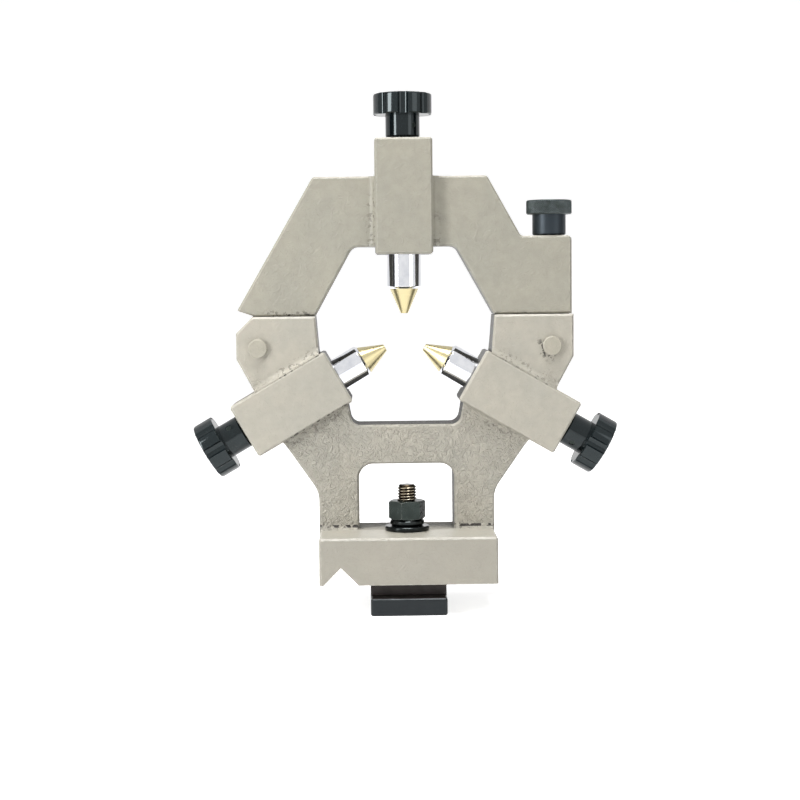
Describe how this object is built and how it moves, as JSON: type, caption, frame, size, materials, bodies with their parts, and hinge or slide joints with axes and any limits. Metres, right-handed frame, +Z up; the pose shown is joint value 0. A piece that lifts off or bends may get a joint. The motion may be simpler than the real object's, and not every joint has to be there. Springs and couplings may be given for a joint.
{
  "type": "steady rest",
  "caption": "Lathe steady rest with a hinged split cast frame, brass-tipped jaws moved by star knobs, and a stud and plate that clamp it to the bed.",
  "frame": {"origin": "on the way face, in the plane of the jaws, midway between the two sides of the base", "axes": "+Z up from the ways to the top jaw, +Y along the lathe's ways away from the front face, +X to the clamp screw's side"},
  "size_m": [0.2244, 0.0645, 0.2675],
  "materials": {
    "cast_paint": "warm grey enamel over a cast surface",
    "chrome": "ground and hard chromed",
    "brass": "turned",
    "knob_black": "glossy moulded phenolic",
    "knurled_black": "black oxide with a straight knurl",
    "black_oxide": "black oxide",
    "thread_steel": "plain turned steel"
  },
  "bodies": {
    "lower": {"lower_frame": "cast_paint", "hinge_pin": "cast_paint", "cross_pin": "cast_paint", "end_bush_left": "black_oxide", "end_bush_right": "black_oxide", "guide_screw_left": "black_oxide", "guide_screw_right": "black_oxide", "flat_washer": "black_oxide", "lock_washer": "black_oxide"},
    "cap": {"upper_frame": "cast_paint", "end_bush_top": "black_oxide", "guide_screw_top": "black_oxide"},
    "clamp_screw": {"clamp_screw": "thread_steel"},
    "clamp_knob": {"clamp_knob": "knurled_black"},
    "clamp_stud": {"clamp_stud": "thread_steel"},
    "clamp_plate": {"clamp_plate": "black_oxide"},
    "clamp_nut": {"clamp_nut": "black_oxide"},
    "jaw_top": {"quill_top": "chrome", "jaw_tip_top": "brass"},
    "jaw_screw_top": {"jaw_screw_top": "thread_steel", "star_knob_top": "knob_black", "knob_pin_top": "black_oxide"},
    "jaw_left": {"quill_left": "chrome", "jaw_tip_left": "brass"},
    "jaw_screw_left": {"jaw_screw_left": "thread_steel", "star_knob_left": "knob_black", "knob_pin_left": "black_oxide"},
    "jaw_right": {"quill_right": "chrome", "jaw_tip_right": "brass"},
    "jaw_screw_right": {"jaw_screw_right": "thread_steel", "star_knob_right": "knob_black", "knob_pin_right": "black_oxide"}
  },
  "joints": [
    {"name": "cap_hinge", "type": "hinge", "parent": "lower", "child": "cap", "pos_m": [-0.0768, 0, 0.1195], "axis": [0, -1, 0], "range_deg": [0, 100]},
    {"name": "clamp_screw_lift", "type": "slide", "parent": "cap", "child": "clamp_screw", "axis": [0, 0, 1], "range_m": [0, 0.014]},
    {"name": "clamp_knob_turn", "type": "hinge", "parent": "clamp_screw", "child": "clamp_knob", "pos_m": [0.0768, 0, 0.18], "axis": [0, 0, 1], "range_deg": [0, 4032]},
    {"name": "clamp_nut_turn", "type": "hinge", "parent": "lower", "child": "clamp_nut", "pos_m": [0, -0.0165, 0.03], "axis": [0, 0, 1], "range_deg": [0, 1440]},
    {"name": "clamp_stud_drop", "type": "slide", "parent": "lower", "child": "clamp_stud", "axis": [0, 0, -1], "range_m": [0, 0.006]},
    {"name": "clamp_plate_turn", "type": "hinge", "parent": "clamp_stud", "child": "clamp_plate", "pos_m": [0, -0.0165, -0.01], "axis": [0, 0, 1], "range_deg": [0, 90]},
    {"name": "jaw_screw_top_turn", "type": "hinge", "parent": "cap", "child": "jaw_screw_top", "pos_m": [0, 0, 0.125], "axis": [0, 0, -1], "range_deg": [-5184, 2016]},
    {"name": "jaw_top_slide", "type": "slide", "parent": "cap", "child": "jaw_top", "axis": [0, 0, -1], "range_m": [-0.018, 0.007]},
    {"name": "jaw_screw_left_turn", "type": "hinge", "parent": "lower", "child": "jaw_screw_left", "pos_m": [0, 0, 0.125], "axis": [0.866, 0, 0.5], "range_deg": [-5184, 2016]},
    {"name": "jaw_left_slide", "type": "slide", "parent": "lower", "child": "jaw_left", "axis": [0.866, 0, 0.5], "range_m": [-0.018, 0.007]},
    {"name": "jaw_screw_right_turn", "type": "hinge", "parent": "lower", "child": "jaw_screw_right", "pos_m": [0, 0, 0.125], "axis": [-0.866, 0, 0.5], "range_deg": [-5184, 2016]},
    {"name": "jaw_right_slide", "type": "slide", "parent": "lower", "child": "jaw_right", "axis": [-0.866, 0, 0.5], "range_m": [-0.018, 0.007]}
  ],
  "couplings": [
    {"joint": "clamp_knob_turn", "follows": "clamp_screw_lift", "rad_per_m": 5026.5},
    {"joint": "clamp_nut_turn", "follows": "clamp_stud_drop", "rad_per_m": 4188.8},
    {"joint": "jaw_screw_top_turn", "follows": "jaw_top_slide", "rad_per_m": 5026.5},
    {"joint": "jaw_screw_left_turn", "follows": "jaw_left_slide", "rad_per_m": 5026.5},
    {"joint": "jaw_screw_right_turn", "follows": "jaw_right_slide", "rad_per_m": 5026.5}
  ]
}
